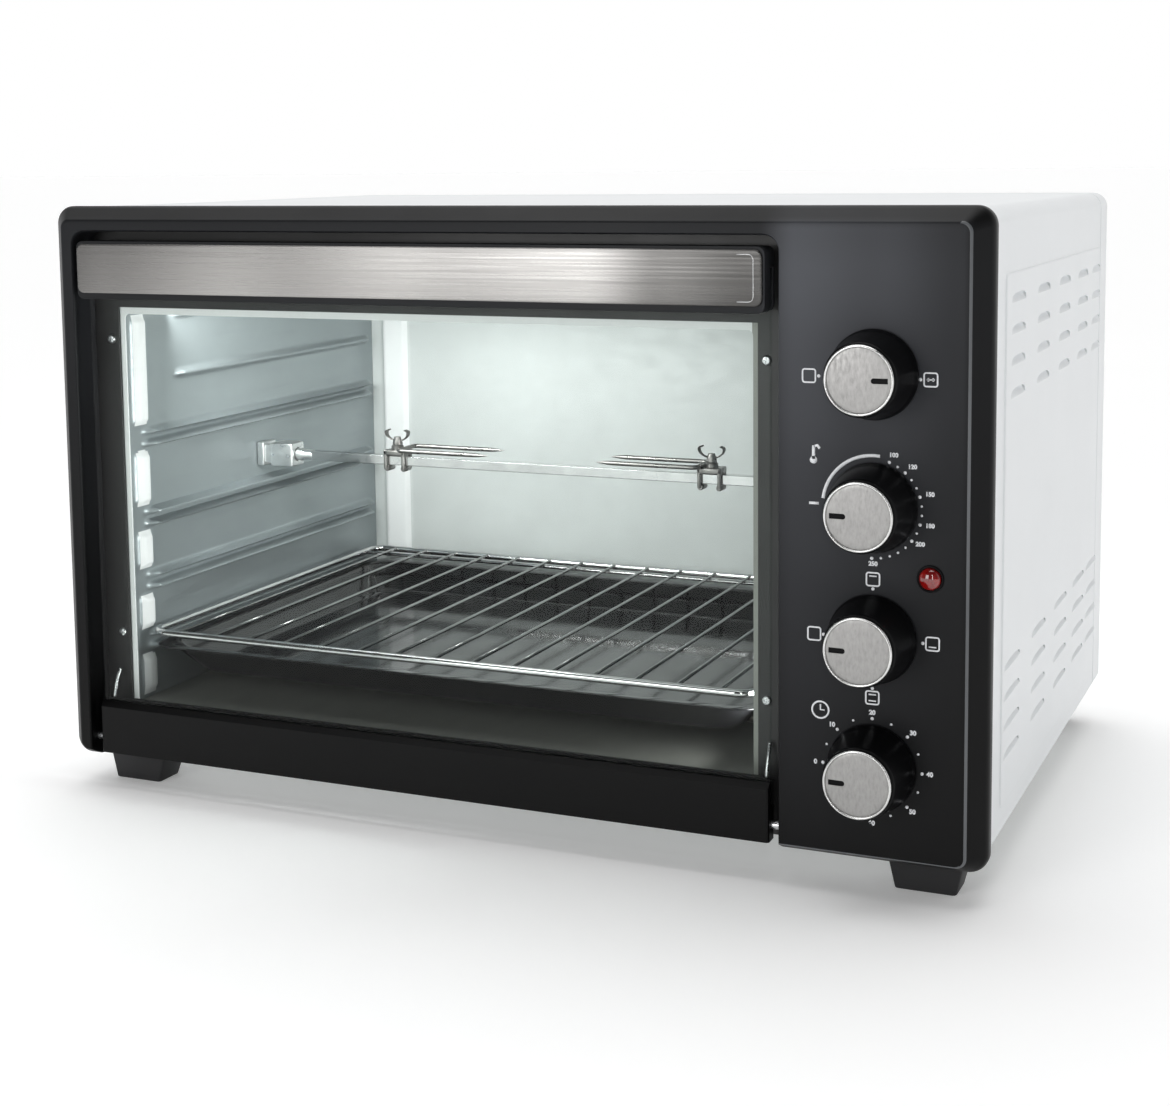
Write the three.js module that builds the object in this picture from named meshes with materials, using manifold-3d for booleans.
// A countertop rotisserie oven: a painted steel casing round a bright cavity with four pairs of runners,
// a drop-down glass door, a wire rack over an enamelled tray, a motor-driven spit with two clamped forks,
// and a control panel with four knobs and a lamp.
// Millimetres. X runs across the front, Y runs back from the bezel's outline, Z runs up from the worktop.
import * as THREE from "three";
import { mergeVertices } from "three/addons/utils/BufferGeometryUtils.js";
import Module from "manifold-3d";

const wasm = await Module();
wasm.setup();

// ---- Driving dimensions ----

const GAP = 0.3; // left between solids that touch
const SHEET = 1; // thickness of the cavity and casing steel
const FOOT_HEIGHT = 18;

const BEZEL = {
  width: 555,
  height: 331,
  front: -10,
  back: 5.5,
  lipBack: 9.7,
  sideChamfer: 10,
  topChamfer: 8,
  bottomChamfer: 5,
  corner: 9,
  wall: 2.5,
};
const HALF_WIDTH = BEZEL.width / 2;
const BEZEL_BOTTOM = FOOT_HEIGHT;
const BEZEL_TOP = FOOT_HEIGHT + BEZEL.height;

const CASING = { front: 5.8, back: 359, halfWidth: 276.5, top: BEZEL_TOP - 0.8, bottom: 29.4, corner: 9 };
const INNER_HALF_WIDTH = CASING.halfWidth - SHEET - GAP; // what fits inside the casing
const INNER_TOP = CASING.top - SHEET - GAP;
const FRAME_BOTTOM = BEZEL_BOTTOM + 2.3;
const FRAME_FRONT = BEZEL.lipBack + GAP;
const FRAME_BACK = FRAME_FRONT + 1.2;
const REAR_PANEL_FRONT = 356;
const REAR_PANEL_BACK = REAR_PANEL_FRONT + SHEET;
const REAR_SLOTS = {
  columns: 4,
  rows: 5,
  left: -200,
  pitchX: 118,
  bottom: 250,
  pitchZ: 14,
  length: 60,
  height: 4,
};
const BASE_SLOTS = { rows: 6, left: 189.5, right: 249.5, front: 90, pitch: 30, width: 6 };
const SIDE_VENTS = {
  upper: { levels: [302, 286, 270, 253.5], columns: [61, 132, 199, 263, 319], length: 40, height: 4 },
  lower: { levels: [114, 98.5, 83, 67.5], columns: [55, 130, 200, 263, 320], length: 40, height: 3.5 },
};

const CAVITY = { middle: -44.5, halfWidth: 199, front: 11.5, back: 309, bottom: 48, top: 304 };
const CAVITY_LEFT = CAVITY.middle - CAVITY.halfWidth;
const CAVITY_RIGHT = CAVITY.middle + CAVITY.halfWidth;
const MOUTH = { bottom: 51, top: 289 };

const RUNNER_LEVELS = [83, 120, 159, 208]; // middle of each channel between two ridges
const RUNNER = { depth: 7, height: 2, halfSpacing: 3.7, front: 30, back: 301 };
const STIFFENING_RIDGE = { level: 244, height: 5, front: 67 };

const RECESS = { left: -260, right: 171.5, top: 334.5, corner: 8 };
const DOOR = { left: -254, right: 166, bottom: 21.8, top: 329, back: 2 };
const GLASS = { front: -4, back: 0, bottom: 40, top: 318 };
const RAIL = { front: -8, top: 53, chamfer: 3 };
const HANDLE = { front: -15, bottom: 295.5, trimBottom: 299, trimTop: 327.5, trimInset: 1.1, corner: 4 };
const HINGE = { y: -2, z: 30, pinRadius: 2.2, boreRadius: 2.6, reach: 12 };

const TRAY = {
  halfWidth: 195,
  front: 22,
  back: 300,
  bottom: 62.5,
  rimBottom: 80.7,
  wallSlope: 14,
  rimWidth: 6.5,
};
const RACK = { halfWidth: 195, front: 20, back: 297, level: 90.2, frameRadius: 2.2 };
const RACK_WIRES = { count: 15, pitch: 24.8, radius: 1.1 };

const SPIT = { y: 160, z: 180.5, side: 6, left: -238, right: 149.5, point: 6 };
const SPIT_SUPPORT = { length: 27, side: 15.5, boreRadius: 4.6 };
const DRIVE = { socketRadius: 8, socketLeft: 141, shaftRadius: 3, shaftRight: 170 };
const MOTOR = { left: 158, right: 192, radius: 25 };
const FORK = {
  length: 15,
  depth: 12,
  height: 14,
  tineSpacing: 24,
  tineRise: 8,
  tineLength: 63,
  tineRadius: 1.4,
};
const FORK_PLACES = { left: -140.5, right: 75.5 };

const HEATER = {
  radius: 3.3,
  collarRadius: 6,
  terminal: 14,
  depths: [95, 230],
  topLevel: 290,
  bottomLevel: 56,
};

const KNOB_X = 220.8;
const KNOB_LEVELS = { rotisserie: 267, temperature: 201, heat: 135, timer: 69 };
const KNOB = { baseRadius: 22.5, faceRadius: 18, face: -39.5, capRadius: 17.2, capDepth: 1.8 };
const SHAFT = { radius: 3, front: -30, back: 24, clearance: 1.5 };
const LAMP = { x: 249.5, z: 167.4, radius: 5.6, domeHeight: 4.2, back: 1 };
// Each switch or timer behind a knob: half its width and height, its depth and the radius of its back cover.
const CONTROL_UNITS = {
  rotisserie: { name: "rotisserie_switch", halfWidth: 15, halfHeight: 13, depth: 20, coverRadius: 9 },
  temperature: { name: "thermostat", halfWidth: 20, halfHeight: 17, depth: 22, coverRadius: 13 },
  heat: { name: "heat_selector_switch", halfWidth: 19, halfHeight: 19, depth: 24, coverRadius: 15 },
  timer: { name: "timer_unit", halfWidth: 25, halfHeight: 24, depth: 26, coverRadius: 22 },
};

const FOOT = {
  x: 243,
  topWidth: 46,
  bottomWidth: 32,
  topDepth: 28,
  bottomDepth: 20,
  frontY: 11.4,
  rearY: 347,
};
const SCREW = { inset: 5, levels: { upper: 270, lower: 92 }, headRadius: 2.6, shankRadius: 1.4 };
const GLAND = { x: 235, z: 72, bore: 3.6, shank: 6.6, flange: 10, depth: 5 };
const TERMINALS = { x: 215, z: 49.4, halfWidth: 18, halfHeight: 8, front: 310, back: 340 };

const FINISH = {
  black_plastic: { color: 0x17181b, roughness: 0.45, metalness: 0 },
  glossy_black: { color: 0x0b0b0c, roughness: 0.25, metalness: 0 },
  black_steel: { color: 0x141414, roughness: 0.4, metalness: 0.2 },
  white_steel: { color: 0xe6e7e9, roughness: 0.4, metalness: 0.1 },
  bright_steel: { color: 0xb9c2c6, roughness: 0.35, metalness: 0.9 },
  brushed_steel: { color: 0xa5a29d, roughness: 0.35, metalness: 1 },
  chrome: { color: 0xd8dadc, roughness: 0.12, metalness: 1 },
  enamel: { color: 0x0c0c0d, roughness: 0.12, metalness: 0 },
  heater_metal: { color: 0x6d6a66, roughness: 0.5, metalness: 0.7 },
  switch_plastic: { color: 0xd8d2c4, roughness: 0.6, metalness: 0 },
  rubber: { color: 0x111111, roughness: 0.8, metalness: 0 },
};

// ---- Geometry helpers ----

function toSolid(geometry) {
  const plain = geometry.index ? geometry.toNonIndexed() : geometry.clone();
  plain.deleteAttribute("normal");
  plain.deleteAttribute("uv");
  const merged = mergeVertices(plain, 1e-3);
  const triVerts = new Uint32Array(merged.index.array);
  const vertProperties = merged.attributes.position.array;
  return new wasm.Manifold(new wasm.Mesh({ numProp: 3, vertProperties, triVerts }));
}

function toGeometry(solid) {
  const mesh = solid.getMesh();
  const positions = new Float32Array(mesh.numVert * 3);
  for (let i = 0; i < mesh.numVert; i++) {
    positions.set(mesh.vertProperties.subarray(i * mesh.numProp, i * mesh.numProp + 3), i * 3);
  }
  const geometry = new THREE.BufferGeometry();
  geometry.setAttribute("position", new THREE.BufferAttribute(positions, 3));
  geometry.setIndex(new THREE.BufferAttribute(mesh.triVerts, 1));
  geometry.computeVertexNormals();
  return geometry;
}

const join = (first, ...others) => others.reduce((whole, piece) => whole.add(piece), first);
const cut = (first, ...others) => others.reduce((whole, piece) => whole.subtract(piece), first);

// A box between two corners.
function block(x0, x1, y0, y1, z0, z1) {
  const geometry = new THREE.BoxGeometry(x1 - x0, y1 - y0, z1 - z0);
  geometry.translate((x0 + x1) / 2, (y0 + y1) / 2, (z0 + z1) / 2);
  return toSolid(geometry);
}

// A cylinder along an axis, whose other two coordinates are given in X, Y, Z order.
function bar(axis, from, to, first, second, radius, sides = 12) {
  const geometry = new THREE.CylinderGeometry(radius, radius, to - from, sides);
  const middle = (from + to) / 2;
  if (axis === "x") geometry.rotateZ(-Math.PI / 2).translate(middle, first, second);
  if (axis === "y") geometry.translate(first, middle, second);
  if (axis === "z") geometry.rotateX(Math.PI / 2).translate(first, second, middle);
  return toSolid(geometry);
}

// A rounded rectangle's outline, anticlockwise from its lower right corner.
function rounded(u0, u1, v0, v1, radius, steps = 4) {
  const corners = [
    [u1 - radius, v0 + radius, -Math.PI / 2],
    [u1 - radius, v1 - radius, 0],
    [u0 + radius, v1 - radius, Math.PI / 2],
    [u0 + radius, v0 + radius, Math.PI],
  ];
  return corners.flatMap(([u, v, start]) =>
    Array.from({ length: steps + 1 }, (_, i) => {
      const angle = start + (i / steps) * (Math.PI / 2);
      return [u + radius * Math.cos(angle), v + radius * Math.sin(angle)];
    }),
  );
}

// A solid through parallel convex outlines, stacked along Y (outlines in X, Z) or along Z (in X, Y).
function loft(axis, layers) {
  const count = layers[0].outline.length;
  const positions = layers.flatMap(({ at, outline }) =>
    outline.flatMap(([u, v]) => (axis === "y" ? [u, at, v] : [u, v, at])),
  );
  const triangles = [];
  for (let layer = 0; layer + 1 < layers.length; layer++) {
    for (let i = 0; i < count; i++) {
      const a = layer * count + i;
      const b = layer * count + ((i + 1) % count);
      triangles.push([a, b, b + count], [a, b + count, a + count]);
    }
  }
  const last = (layers.length - 1) * count;
  for (let i = 1; i + 1 < count; i++) {
    triangles.push([0, i + 1, i], [last, last + i, last + i + 1]);
  }
  const facing = axis === "z" ? triangles : triangles.map(([a, b, c]) => [a, c, b]);
  const geometry = new THREE.BufferGeometry();
  geometry.setAttribute("position", new THREE.Float32BufferAttribute(positions, 3));
  geometry.setIndex(facing.flat());
  return toSolid(geometry);
}

// A flat shape drawn in X and Z, extruded from y0 to y1.
function plate(points, y0, y1) {
  const shape = new THREE.Shape(points.map(([x, z]) => new THREE.Vector2(x, z)));
  const geometry = new THREE.ExtrudeGeometry(shape, { depth: y1 - y0, bevelEnabled: false });
  geometry.rotateX(Math.PI / 2).translate(0, y1, 0);
  return toSolid(geometry);
}

// A body turned about the Y axis from [radius, y] points that start and end on the axis.
function turned(profile, sides = 24) {
  return toSolid(new THREE.LatheGeometry(profile.map(([r, y]) => new THREE.Vector2(r, y)), sides));
}

// A bent round wire through points, with a ball at each bend.
function wire(points, radius, sides = 8) {
  const pieces = [];
  for (let i = 0; i + 1 < points.length; i++) {
    const from = new THREE.Vector3(...points[i]);
    const to = new THREE.Vector3(...points[i + 1]);
    const path = new THREE.LineCurve3(from, to);
    const section = new THREE.Shape().absarc(0, 0, radius, 0, 2 * Math.PI);
    const options = { extrudePath: path, steps: 1, bevelEnabled: false, curveSegments: sides };
    pieces.push(toSolid(new THREE.ExtrudeGeometry(section, options)));
    if (i > 0) {
      pieces.push(toSolid(new THREE.SphereGeometry(radius, sides, sides - 2).translate(...points[i])));
    }
  }
  return join(...pieces);
}

function mesh(name, solid, finish) {
  const geometry = toGeometry(solid);
  const material = new THREE.MeshStandardMaterial(FINISH[finish]);
  const made = new THREE.Mesh(geometry, material);
  made.name = name;
  return made;
}

// ---- Housing ----

// The outline of the bezel at a share of its full chamfer, 0 on the outline and 1 on the front face.
function bezelOutline(share, inset = 0) {
  return rounded(
    -HALF_WIDTH + share * BEZEL.sideChamfer + inset,
    HALF_WIDTH - share * BEZEL.sideChamfer - inset,
    BEZEL_BOTTOM + share * BEZEL.bottomChamfer + inset,
    BEZEL_TOP - share * BEZEL.topChamfer - inset,
    BEZEL.corner - 5 * share,
  );
}

function recessCutter(extra) {
  const { left, right, top, corner } = RECESS;
  return plate(rounded(left - extra, right + extra, -40, top + extra, corner), -30, 30);
}

// The moulded front: an arch over the door joined to the control panel, hollow behind.
function frontBezel() {
  const lipInset = HALF_WIDTH - INNER_HALF_WIDTH;
  const outside = loft("y", [
    { at: BEZEL.front, outline: bezelOutline(1) },
    { at: 0, outline: bezelOutline(0) },
    { at: BEZEL.back, outline: bezelOutline(0) },
    { at: BEZEL.back, outline: bezelOutline(0, lipInset) },
    { at: BEZEL.lipBack, outline: bezelOutline(0, lipInset) },
  ]);
  const hollow = loft("y", [
    { at: BEZEL.front + BEZEL.wall, outline: bezelOutline(1, BEZEL.wall) },
    { at: -1, outline: bezelOutline(0, lipInset + BEZEL.wall) },
    { at: BEZEL.lipBack + 1, outline: bezelOutline(0, lipInset + BEZEL.wall) },
  ]);
  const shaftHole = (z) => bar("y", -20, 20, KNOB_X, z, SHAFT.radius + SHAFT.clearance);
  const shaftHoles = Object.values(KNOB_LEVELS).map(shaftHole);
  const lampHole = bar("y", -20, 20, LAMP.x, LAMP.z, LAMP.radius + 0.5);
  const pinHole = bar("x", RECESS.left - 8, RECESS.right + 8, HINGE.y, HINGE.z, HINGE.boreRadius);
  const recess = recessCutter(0);
  return cut(outside, hollow.subtract(recessCutter(BEZEL.wall)), recess, ...shaftHoles, lampHole, pinHole);
}

// The steel plate behind the bezel: it carries the cavity, the controls and the door's stop.
function frontFrame() {
  const outline = rounded(-INNER_HALF_WIDTH, INNER_HALF_WIDTH, FRAME_BOTTOM, INNER_TOP, CASING.corner);
  const mouth = block(CAVITY_LEFT, CAVITY_RIGHT, 0, 20, MOUTH.bottom, MOUTH.top);
  const shaftHole = (z) => bar("y", 0, 20, KNOB_X, z, SHAFT.radius + SHAFT.clearance);
  const shaftHoles = Object.values(KNOB_LEVELS).map(shaftHole);
  const lampHole = bar("y", 0, 20, LAMP.x, LAMP.z, LAMP.radius);
  const screwHoles = screwPlaces().map(([, x, z]) => bar("y", 0, 20, x, z, SCREW.shankRadius + GAP));
  return cut(plate(outline, FRAME_FRONT, FRAME_BACK), mouth, ...shaftHoles, lampHole, ...screwHoles);
}

// Rows of slots through the side of the casing next to the controls.
function sideVents() {
  return Object.values(SIDE_VENTS).flatMap(({ levels, columns, length, height }) =>
    levels.flatMap((z) =>
      columns.map((y) => {
        const half = Math.min(length / 2, REAR_PANEL_FRONT - 4 - y);
        return block(HALF_WIDTH - 10, HALF_WIDTH + 10, y - half, y + half, z - height / 2, z + height / 2);
      }),
    ),
  );
}

// One sheet folded over the top and down both sides.
function outerCasing() {
  const { front, back, halfWidth, top, bottom, corner } = CASING;
  const outside = plate(rounded(-halfWidth, halfWidth, bottom - 40, top, corner), front, back);
  const inner = rounded(-halfWidth + SHEET, halfWidth - SHEET, bottom - 60, top - SHEET, corner - SHEET);
  const below = block(-halfWidth - 5, halfWidth + 5, front - 5, back + 5, bottom - 50, bottom);
  return cut(outside, plate(inner, front - 5, back + 5), below, ...sideVents());
}

function rearPanel() {
  const outline = rounded(-INNER_HALF_WIDTH, INNER_HALF_WIDTH, CASING.bottom + 2, INNER_TOP, CASING.corner);
  const { columns, rows, left, pitchX, bottom, pitchZ, length, height } = REAR_SLOTS;
  const before = REAR_PANEL_FRONT - 5;
  const behind = REAR_PANEL_BACK + 5;
  const slots = [];
  for (let column = 0; column < columns; column++) {
    for (let row = 0; row < rows; row++) {
      const x = left + column * pitchX;
      const z = bottom + row * pitchZ;
      slots.push(block(x, x + length, before, behind, z, z + height));
    }
  }
  const glandHole = bar("y", before, behind, GLAND.x, GLAND.z, GLAND.shank + GAP);
  return cut(plate(outline, REAR_PANEL_FRONT, REAR_PANEL_BACK), ...slots, glandHole);
}

function basePlate() {
  const bottom = CASING.bottom + GAP;
  const back = REAR_PANEL_FRONT - GAP;
  const sheet = block(-INNER_HALF_WIDTH, INNER_HALF_WIDTH, CAVITY.front, back, bottom, bottom + SHEET);
  const { rows, left, right, front, pitch, width } = BASE_SLOTS;
  const slots = [];
  for (let row = 0; row < rows; row++) {
    const near = front + row * pitch;
    slots.push(block(left, right, near, near + width, bottom - 5, bottom + 5));
  }
  return cut(sheet, ...slots);
}

// A foot tapers down from the base plate; its outer face towards the oven's front or back stands upright.
function foot(x, towardsFront) {
  const outline = (width, depth) =>
    towardsFront
      ? rounded(x - width / 2, x + width / 2, FOOT.frontY, FOOT.frontY + depth, 2, 2)
      : rounded(x - width / 2, x + width / 2, FOOT.rearY - depth, FOOT.rearY, 2, 2);
  return loft("z", [
    { at: 0, outline: outline(FOOT.bottomWidth, FOOT.bottomDepth) },
    { at: CASING.bottom, outline: outline(FOOT.topWidth, FOOT.topDepth) },
  ]);
}

function cordGland() {
  const { bore, shank, flange, depth } = GLAND;
  const inside = REAR_PANEL_FRONT - GAP;
  const outside = REAR_PANEL_BACK + GAP;
  const body = turned([
    [0, inside - 4],
    [flange - 1, inside - 4],
    [flange - 1, inside],
    [shank, inside],
    [shank, outside],
    [flange, outside],
    [flange - 3, outside + depth],
    [0, outside + depth],
  ]);
  return cut(body, bar("y", inside - 10, outside + 10, 0, 0, bore));
}

// ---- Cavity ----

// A side wall with its ridges, bored for the heaters and, on one side, for the spit's drive.
function cavitySideWall(side) {
  const inner = side < 0 ? CAVITY_LEFT : CAVITY_RIGHT;
  const span = (from, to) => (side < 0 ? [inner + from, inner + to] : [inner - to, inner - from]);
  const sheet = block(...span(-SHEET, 0), CAVITY.front, CAVITY.back, CAVITY.bottom, CAVITY.top);
  const ridge = (z, height, front) =>
    block(...span(-SHEET / 2, RUNNER.depth), front, RUNNER.back, z - height / 2, z + height / 2);
  const ridges = RUNNER_LEVELS.flatMap((level) => [
    ridge(level - RUNNER.halfSpacing, RUNNER.height, RUNNER.front),
    ridge(level + RUNNER.halfSpacing, RUNNER.height, RUNNER.front),
  ]);
  ridges.push(ridge(STIFFENING_RIDGE.level, STIFFENING_RIDGE.height, STIFFENING_RIDGE.front));
  const through = span(-5, 20);
  const bores = heaterPlaces().map(([, y, z]) => bar("x", ...through, y, z, HEATER.radius + 0.5));
  if (side > 0) bores.push(bar("x", ...through, SPIT.y, SPIT.z, DRIVE.shaftRadius + 1));
  return cut(join(sheet, ...ridges), ...bores);
}

function cavityPanel(y0, y1, z0, z1) {
  return block(CAVITY_LEFT - SHEET, CAVITY_RIGHT + SHEET, y0, y1, z0, z1);
}

function heaterPlaces() {
  const [front, rear] = HEATER.depths;
  return [
    ["heater_top_front", front, HEATER.topLevel],
    ["heater_top_rear", rear, HEATER.topLevel],
    ["heater_bottom_front", front, HEATER.bottomLevel],
    ["heater_bottom_rear", rear, HEATER.bottomLevel],
  ];
}

// A sheathed element across the cavity, with a ceramic collar inside each wall and terminals outside.
function heater() {
  const { radius, collarRadius, terminal } = HEATER;
  const element = bar("x", CAVITY_LEFT - terminal, CAVITY_RIGHT + terminal, 0, 0, radius);
  const leftCollar = bar("x", CAVITY_LEFT + GAP, CAVITY_LEFT + 10, 0, 0, collarRadius);
  const rightCollar = bar("x", CAVITY_RIGHT - 10, CAVITY_RIGHT - GAP, 0, 0, collarRadius);
  return join(element, leftCollar, rightCollar);
}

function screwPlaces() {
  const left = CAVITY_LEFT - SCREW.inset;
  const right = CAVITY_RIGHT + SCREW.inset;
  return [
    ["frame_screw_left_upper", left, SCREW.levels.upper],
    ["frame_screw_left_lower", left, SCREW.levels.lower],
    ["frame_screw_right_upper", right, SCREW.levels.upper],
    ["frame_screw_right_lower", right, SCREW.levels.lower],
  ];
}

function frameScrew() {
  return turned(
    [
      [0, FRAME_FRONT - 2],
      [SCREW.headRadius - 1, FRAME_FRONT - 1.8],
      [SCREW.headRadius, FRAME_FRONT - 1],
      [SCREW.headRadius, FRAME_FRONT - GAP],
      [SCREW.shankRadius, FRAME_FRONT - GAP],
      [SCREW.shankRadius, FRAME_BACK + 5],
      [0, FRAME_BACK + 5],
    ],
    12,
  );
}

// ---- Door ----

const glassGroove = () =>
  block(
    DOOR.left - 1,
    DOOR.right + 1,
    GLASS.front - GAP,
    GLASS.back + GAP,
    GLASS.bottom - GAP,
    GLASS.top + GAP,
  );

function bottomRail() {
  const profile = loft("z", [
    { at: DOOR.bottom, outline: rounded(DOOR.left, DOOR.right, RAIL.front, DOOR.back, 1.5, 2) },
    { at: RAIL.top - RAIL.chamfer, outline: rounded(DOOR.left, DOOR.right, RAIL.front, DOOR.back, 1.5, 2) },
    { at: RAIL.top, outline: rounded(DOOR.left, DOOR.right, RAIL.front + RAIL.chamfer, DOOR.back, 0.5, 2) },
  ]);
  const bores = [
    bar("x", DOOR.left - 5, DOOR.left + HINGE.reach, HINGE.y, HINGE.z, HINGE.boreRadius),
    bar("x", DOOR.right - HINGE.reach, DOOR.right + 5, HINGE.y, HINGE.z, HINGE.boreRadius),
  ];
  return cut(profile, glassGroove(), ...bores);
}

function handleHousing() {
  const front = HANDLE.front + SHEET + GAP;
  const outline = rounded(DOOR.left, DOOR.right, HANDLE.bottom, DOOR.top, HANDLE.corner);
  return cut(plate(outline, front, DOOR.back), glassGroove());
}

function handleTrim() {
  const { front, trimBottom, trimTop, trimInset, corner } = HANDLE;
  const outline = rounded(DOOR.left + trimInset, DOOR.right - trimInset, trimBottom, trimTop, corner);
  return plate(outline, front, front + SHEET);
}

function doorGlass() {
  return block(DOOR.left + GAP, DOOR.right - GAP, GLASS.front, GLASS.back, GLASS.bottom, GLASS.top);
}

// A curved steel stay that rises from the bottom rail behind the glass.
function doorStay(x) {
  const foot = [x, 1, RAIL.top - 1];
  const middle = [x, 3.5, RAIL.top + 8];
  const tip = [x, 7, RAIL.top + 17];
  const root = block(x - 2, x + 2, 0.5, DOOR.back, RAIL.top - 1, RAIL.top + 2);
  return join(wire([foot, middle, tip], 1), root).subtract(
    block(x - 10, x + 10, -10, 10, RAIL.top - 20, RAIL.top + GAP),
  );
}

function hingePin(side) {
  const [from, to] =
    side < 0
      ? [RECESS.left - BEZEL.wall - 3, DOOR.left + HINGE.reach - 2]
      : [DOOR.right - HINGE.reach + 2, RECESS.right + BEZEL.wall + 3];
  return bar("x", from, to, HINGE.y, HINGE.z, HINGE.pinRadius);
}

// ---- Controls ----

function knobBody() {
  const { baseRadius, faceRadius, face, capDepth } = KNOB;
  const back = BEZEL.front - 0.5;
  const front = face + capDepth + GAP;
  const body = turned(
    [
      [0, front],
      [faceRadius - 0.6, front],
      [faceRadius, front + 1],
      [baseRadius - 1.5, back - 6],
      [baseRadius, back - 3],
      [baseRadius, back],
      [0, back],
    ],
    32,
  );
  return cut(body, bar("y", SHAFT.front - GAP, 0, 0, 0, SHAFT.radius + GAP));
}

// The metal cap has a rim round its face and a slot that points along +X.
function knobCap() {
  const { capRadius, face, capDepth } = KNOB;
  const cap = turned(
    [
      [0, face + 0.5],
      [capRadius - 1.4, face + 0.5],
      [capRadius - 1, face],
      [capRadius - 0.4, face],
      [capRadius, face + 0.6],
      [capRadius, face + capDepth],
      [0, face + capDepth],
    ],
    32,
  );
  const pointer = block(6, 14.6, face - 1, face + 1.2, -1.5, 1.5);
  return cut(cap, pointer);
}

const knobShaft = () => bar("y", SHAFT.front, SHAFT.back, 0, 0, SHAFT.radius);

// A switch or timer behind the frame: a case, a collar round the shaft and a back cover.
function controlUnit({ halfWidth, halfHeight, depth, coverRadius }) {
  const front = FRAME_BACK + GAP;
  const caseBack = front + depth;
  const unit = join(
    block(-halfWidth, halfWidth, front, caseBack, -halfHeight, halfHeight),
    bar("y", caseBack - 1, caseBack + 9, 0, 0, coverRadius, 20),
  );
  return cut(unit, bar("y", front - 1, SHAFT.back + 2, 0, 0, SHAFT.radius + GAP));
}

function indicatorLens() {
  const { radius, domeHeight, back } = LAMP;
  const seat = BEZEL.front - GAP;
  return turned(
    [
      [0, seat - domeHeight],
      [radius * 0.5, seat - 0.9 * domeHeight],
      [radius * 0.85, seat - 0.62 * domeHeight],
      [radius, seat - 0.9],
      [radius + 1, seat - 0.8],
      [radius + 1.2, seat],
      [radius, seat],
      [radius, back],
      [0, back],
    ],
    20,
  );
}

const indicatorLamp = () => bar("y", LAMP.back + GAP, SHAFT.back, 0, 0, LAMP.radius - 1.2);

// ---- Rotisserie ----

// The square rod, pointed at both ends; X is measured along the oven, Y and Z from the spit's axis.
function spitRod() {
  const half = SPIT.side / 2;
  const section = (size) => rounded(-size, size, -size, size, size / 10, 1);
  const rod = loft("z", [
    { at: SPIT.left, outline: section(0.8) },
    { at: SPIT.left + SPIT.point, outline: section(half) },
    { at: SPIT.right - 2, outline: section(half) },
    { at: SPIT.right, outline: section(half - 1) },
  ]);
  return rod.rotate([0, 90, 0]);
}

function spitSupport() {
  const { length, side, boreRadius } = SPIT_SUPPORT;
  const left = CAVITY_LEFT + GAP;
  const body = block(left, left + length, -side / 2, side / 2, -side / 2, side / 2);
  const waist = block(left + 8, left + length - 8, -side, -side / 2 + 2.5, -side, side);
  return cut(body, waist, bar("x", left - 1, left + length + 1, 0, 0, boreRadius));
}

// The cup that the motor turns, with a square socket for the rod's end.
function driveSocket() {
  const { socketRadius, socketLeft, shaftRadius, shaftRight } = DRIVE;
  const half = SPIT.side / 2 + 0.4;
  const cup = bar("x", socketLeft, CAVITY_RIGHT - GAP, 0, 0, socketRadius, 16);
  const shaft = bar("x", CAVITY_RIGHT - 2, shaftRight, 0, 0, shaftRadius);
  return cut(join(cup, shaft), block(socketLeft - 1, SPIT.right + 1, -half, half, -half, half));
}

function rotisserieMotor() {
  const gearbox = bar("x", MOTOR.left, MOTOR.right, 0, 0, MOTOR.radius, 20);
  const rotor = bar("x", MOTOR.right - 1, MOTOR.right + 14, 0, 0, MOTOR.radius - 9, 16);
  const ears = block(MOTOR.left, MOTOR.left + 2, -MOTOR.radius - 10, MOTOR.radius + 10, -7, 7);
  const bore = bar("x", MOTOR.left - 1, DRIVE.shaftRight + 2, 0, 0, DRIVE.shaftRadius + GAP);
  return cut(join(gearbox, rotor, ears), bore);
}

// A fork's bracket is centred on the rod and its two tines point along +X.
function fork() {
  const { length, depth, height, tineSpacing, tineRise, tineLength, tineRadius } = FORK;
  const halfBore = SPIT.side / 2 + 0.4;
  const bracket = block(-length / 2, length / 2, -depth / 2, depth / 2, -height / 2, height / 2);
  const boss = block(-4, 4, -4, 4, height / 2 - 1, height / 2 + 3);
  const root = length / 2;
  const crossbar = block(
    root - 3,
    root - 0.5,
    -tineSpacing / 2 - 1.5,
    tineSpacing / 2 + 1.5,
    tineRise - 3.5,
    tineRise + 1.7,
  );
  const tines = [-1, 1].map((side) => {
    const geometry = new THREE.CylinderGeometry(0.3, tineRadius, 12, 8);
    const y = (side * tineSpacing) / 2;
    geometry.rotateZ(-Math.PI / 2).translate(root + tineLength - 6, y, tineRise);
    return bar("x", root - 1, root + tineLength - 12, y, tineRise, tineRadius, 8).add(toSolid(geometry));
  });
  const throat = block(-length, length, -halfBore, halfBore, -halfBore, halfBore);
  const screwHole = bar("z", 0, height, 0, 0, 2.3);
  return cut(join(bracket, boss, crossbar, ...tines), throat, screwHole);
}

// A thumb screw with two wings, standing on the fork's boss.
function wingScrew() {
  const seat = FORK.height / 2 + 3 + GAP;
  const shank = bar("z", SPIT.side / 2 + 0.5, seat + 1, 0, 0, 2);
  const hub = bar("z", seat, seat + 5, 0, 0, 3.2);
  const wings = [-1, 1].map((side) => bar("y", -0.8, 0.8, side * 5.2, seat + 5.6, 4));
  return join(shank, hub, ...wings);
}

// ---- Rack and tray ----

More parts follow.
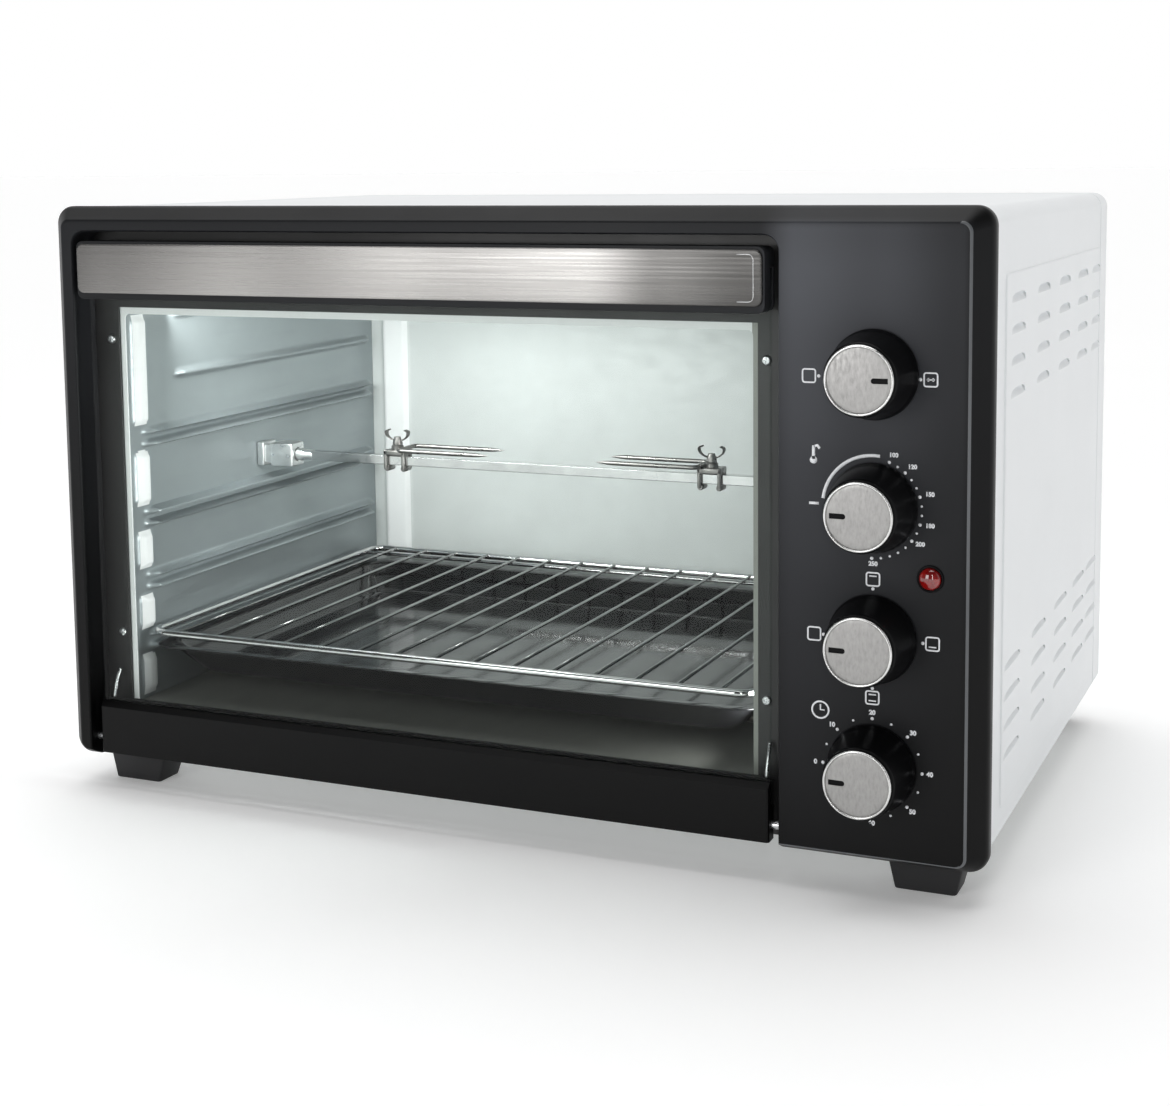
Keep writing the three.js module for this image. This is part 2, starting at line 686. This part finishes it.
function wireRack() {
  const { halfWidth, front, back, level, frameRadius } = RACK;
  const left = CAVITY.middle - halfWidth + frameRadius;
  const right = CAVITY.middle + halfWidth - frameRadius;
  const near = front + frameRadius;
  const far = back - frameRadius;
  const corner = 9;
  const frame = wire(
    [
      [CAVITY.middle, near, level],
      [right - corner, near, level],
      [right, near + corner, level],
      [right, far - corner, level],
      [right - corner, far, level],
      [left + corner, far, level],
      [left, far - corner, level],
      [left, near + corner, level],
      [left + corner, near, level],
      [CAVITY.middle, near, level],
    ],
    frameRadius,
  );
  const { count, pitch, radius } = RACK_WIRES;
  const wires = Array.from({ length: count }, (_, i) => {
    const x = CAVITY.middle + (i - (count - 1) / 2) * pitch;
    return bar("y", near, far, x, level, radius, 6);
  });
  const rearBar = bar("x", left, right, far - 14, level - 0.8, 1.4, 6);
  return join(frame, ...wires, rearBar);
}

// A shallow pan with sloping walls and a flat rim that runs in the channel between two ridges.
function bakingTray() {
  const { halfWidth, front, back, bottom, rimBottom, wallSlope, rimWidth } = TRAY;
  const outline = (inset, radius) =>
    rounded(
      CAVITY.middle - halfWidth + inset,
      CAVITY.middle + halfWidth - inset,
      front + inset,
      back - inset,
      radius,
    );
  const rimTop = rimBottom + SHEET;
  const flange = loft("z", [
    { at: rimBottom, outline: outline(0, 10) },
    { at: rimTop, outline: outline(0, 10) },
  ]);
  const pan = loft("z", [
    { at: bottom, outline: outline(rimWidth + wallSlope, 16) },
    { at: rimTop, outline: outline(rimWidth, 12) },
  ]);
  const inside = loft("z", [
    { at: bottom + SHEET, outline: outline(rimWidth + wallSlope + SHEET, 15) },
    { at: rimTop + 1, outline: outline(rimWidth + SHEET - wallSlope / (rimTop - bottom), 11) },
  ]);
  return cut(join(flange, pan), inside);
}

// ---- Assembly ----

const oven = new THREE.Group();

oven.add(
  mesh("front_bezel", frontBezel(), "black_plastic"),
  mesh("front_frame", frontFrame(), "black_steel"),
  mesh("outer_casing", outerCasing(), "white_steel"),
  mesh("rear_panel", rearPanel(), "bright_steel"),
  mesh("base_plate", basePlate(), "bright_steel"),
  mesh("foot_front_left", foot(-FOOT.x, true), "rubber"),
  mesh("foot_front_right", foot(FOOT.x, true), "rubber"),
  mesh("foot_rear_left", foot(-FOOT.x, false), "rubber"),
  mesh("foot_rear_right", foot(FOOT.x, false), "rubber"),
  mesh("cavity_left_wall", cavitySideWall(-1), "bright_steel"),
  mesh("cavity_right_wall", cavitySideWall(1), "bright_steel"),
);

const { front: cavityFront, back: cavityBack, bottom: cavityBottom, top: cavityTop } = CAVITY;
const rearWallBack = cavityBack + GAP + SHEET;
oven.add(
  mesh(
    "cavity_rear_wall",
    cavityPanel(cavityBack + GAP, rearWallBack, cavityBottom, cavityTop),
    "bright_steel",
  ),
  mesh(
    "cavity_ceiling",
    cavityPanel(cavityFront, rearWallBack, cavityTop + GAP, cavityTop + GAP + SHEET),
    "bright_steel",
  ),
  mesh(
    "cavity_floor",
    cavityPanel(cavityFront, rearWallBack, cavityBottom - GAP - SHEET, cavityBottom - GAP),
    "bright_steel",
  ),
);

for (const [name, y, z] of heaterPlaces()) {
  const element = mesh(name, heater(), "heater_metal");
  element.position.set(0, y, z);
  oven.add(element);
}

for (const [name, x, z] of screwPlaces()) {
  const screw = mesh(name, frameScrew(), "chrome");
  screw.position.set(x, 0, z);
  oven.add(screw);
}

const gland = mesh("cord_gland", cordGland(), "rubber");
gland.position.set(GLAND.x, 0, GLAND.z);
const { halfWidth: terminalX, halfHeight: terminalZ, front: terminalFront, back: terminalBack } = TERMINALS;
const terminalCase = block(-terminalX, terminalX, terminalFront, terminalBack, -terminalZ, terminalZ);
const terminals = mesh("terminal_block", terminalCase, "switch_plastic");
terminals.position.set(TERMINALS.x, 0, TERMINALS.z);
oven.add(gland, terminals);

oven.add(
  mesh("hinge_pin_left", hingePin(-1), "bright_steel"),
  mesh("hinge_pin_right", hingePin(1), "bright_steel"),
);

const door = new THREE.Group();
door.add(
  mesh("door_glass", doorGlass(), "glossy_black"),
  mesh("handle_housing", handleHousing(), "black_plastic"),
  mesh("handle_trim", handleTrim(), "brushed_steel"),
  mesh("bottom_rail", bottomRail(), "black_plastic"),
  mesh("door_stay_left", doorStay(DOOR.left + 4), "bright_steel"),
  mesh("door_stay_right", doorStay(DOOR.right - 4), "bright_steel"),
);
oven.add(door);

for (const [use, level] of Object.entries(KNOB_LEVELS)) {
  const unit = CONTROL_UNITS[use];
  const place = new THREE.Group();
  place.position.set(KNOB_X, 0, level);
  const cap = mesh(`knob_cap_${use}`, knobCap(), "brushed_steel");
  cap.rotation.y = use === "rotisserie" ? 0 : Math.PI;
  place.add(
    cap,
    mesh(`knob_body_${use}`, knobBody(), "glossy_black"),
    mesh(`knob_shaft_${use}`, knobShaft(), "bright_steel"),
    mesh(unit.name, controlUnit(unit), "switch_plastic"),
  );
  oven.add(place);
}

const lamp = new THREE.Group();
lamp.position.set(LAMP.x, 0, LAMP.z);
const lens = mesh("indicator_lens", indicatorLens(), "glossy_black");
lens.material.color.set(0x8c0a0a);
lamp.add(lens, mesh("indicator_lamp", indicatorLamp(), "switch_plastic"));
oven.add(lamp);

const spit = new THREE.Group();
spit.position.set(0, SPIT.y, SPIT.z);
spit.add(
  mesh("spit_rod", spitRod(), "chrome"),
  mesh("drive_socket", driveSocket(), "bright_steel"),
  mesh("spit_support", spitSupport(), "bright_steel"),
  mesh("rotisserie_motor", rotisserieMotor(), "bright_steel"),
);
for (const [side, x] of Object.entries(FORK_PLACES)) {
  const place = new THREE.Group();
  place.position.x = x;
  place.rotation.z = side === "left" ? 0 : Math.PI;
  place.add(mesh(`fork_${side}`, fork(), "chrome"), mesh(`wing_screw_${side}`, wingScrew(), "chrome"));
  spit.add(place);
}
oven.add(spit);

oven.add(mesh("wire_rack", wireRack(), "chrome"), mesh("baking_tray", bakingTray(), "enamel"));

// The origin is on the worktop, under the middle of the whole oven from the knobs' faces to the cord gland.
const backmost = REAR_PANEL_BACK + GAP + GLAND.depth;
oven.position.y = -(KNOB.face + backmost) / 2;

const part = new THREE.Group();
part.add(oven);

export default part;
